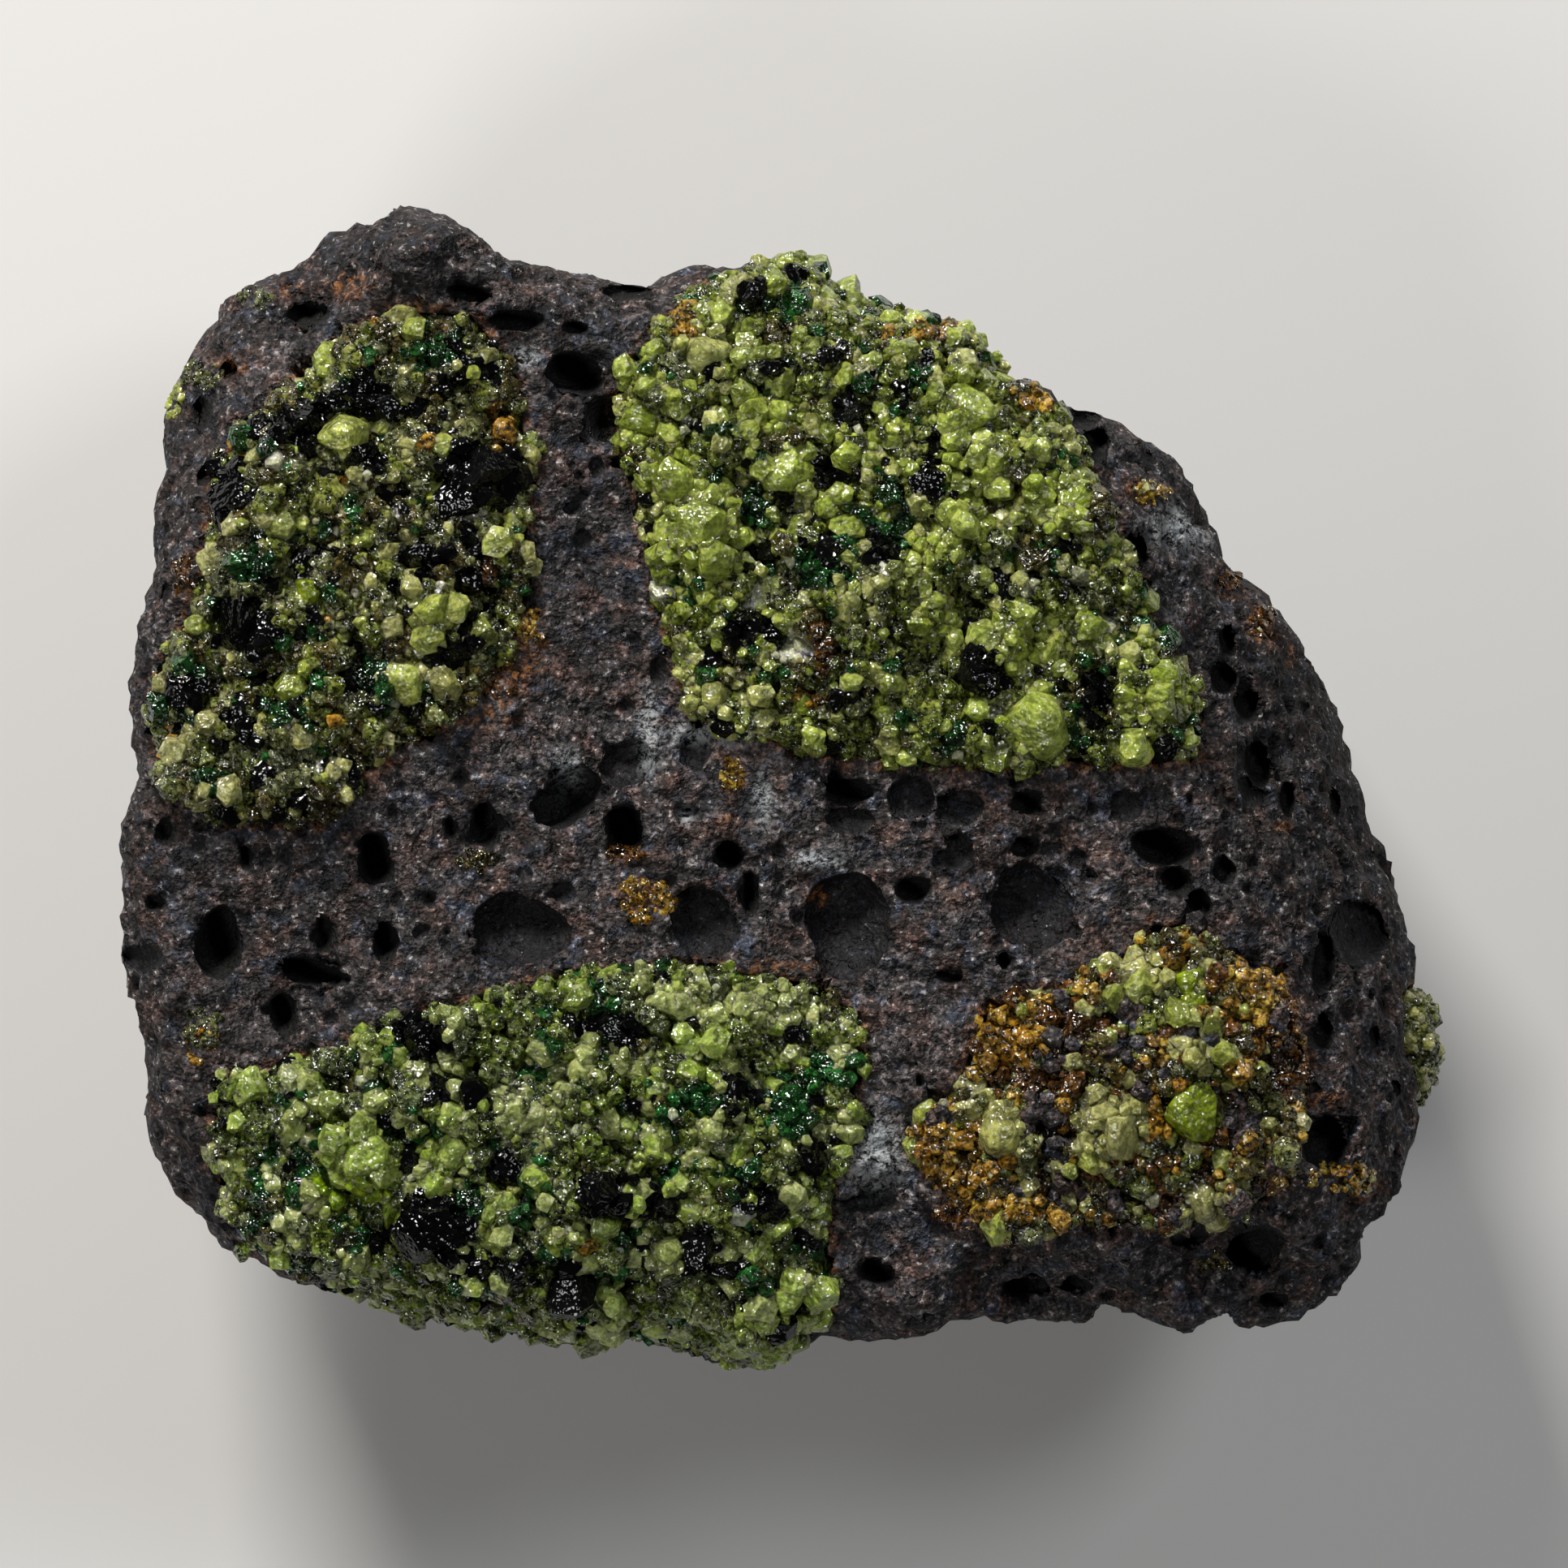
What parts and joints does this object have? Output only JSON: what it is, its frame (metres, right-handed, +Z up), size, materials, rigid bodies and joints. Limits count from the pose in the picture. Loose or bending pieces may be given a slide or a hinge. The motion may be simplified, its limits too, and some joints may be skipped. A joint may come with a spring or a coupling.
{
  "type": "peridot crystal specimen in basalt",
  "caption": "Hand specimen of dark bubbly basalt with granular yellow-green peridot nodules in its display face, lying on its flat-cut back.",
  "frame": {"origin": "on the resting face, under the middle of the specimen's outline seen from above", "axes": "+Z up through the display face, +X along the longest side, +Y across it towards the edge that is uppermost in the picture"},
  "size_m": [0.082, 0.0722, 0.0377],
  "materials": {
    "basalt": "rough matte, dark grey with a purple-brown cast, full of open bubbles",
    "peridot": "glassy, packed translucent grains, yellow-green with dark green, black and rust-stained grains"
  },
  "bodies": {
    "root": {"basalt_matrix": "basalt", "peridot_nodule_upper_left": "peridot", "peridot_nodule_upper_right": "peridot", "peridot_nodule_lower_left": "peridot", "peridot_nodule_lower_right": "peridot", "peridot_sliver_right_edge": "peridot"}
  },
  "joints": []
}
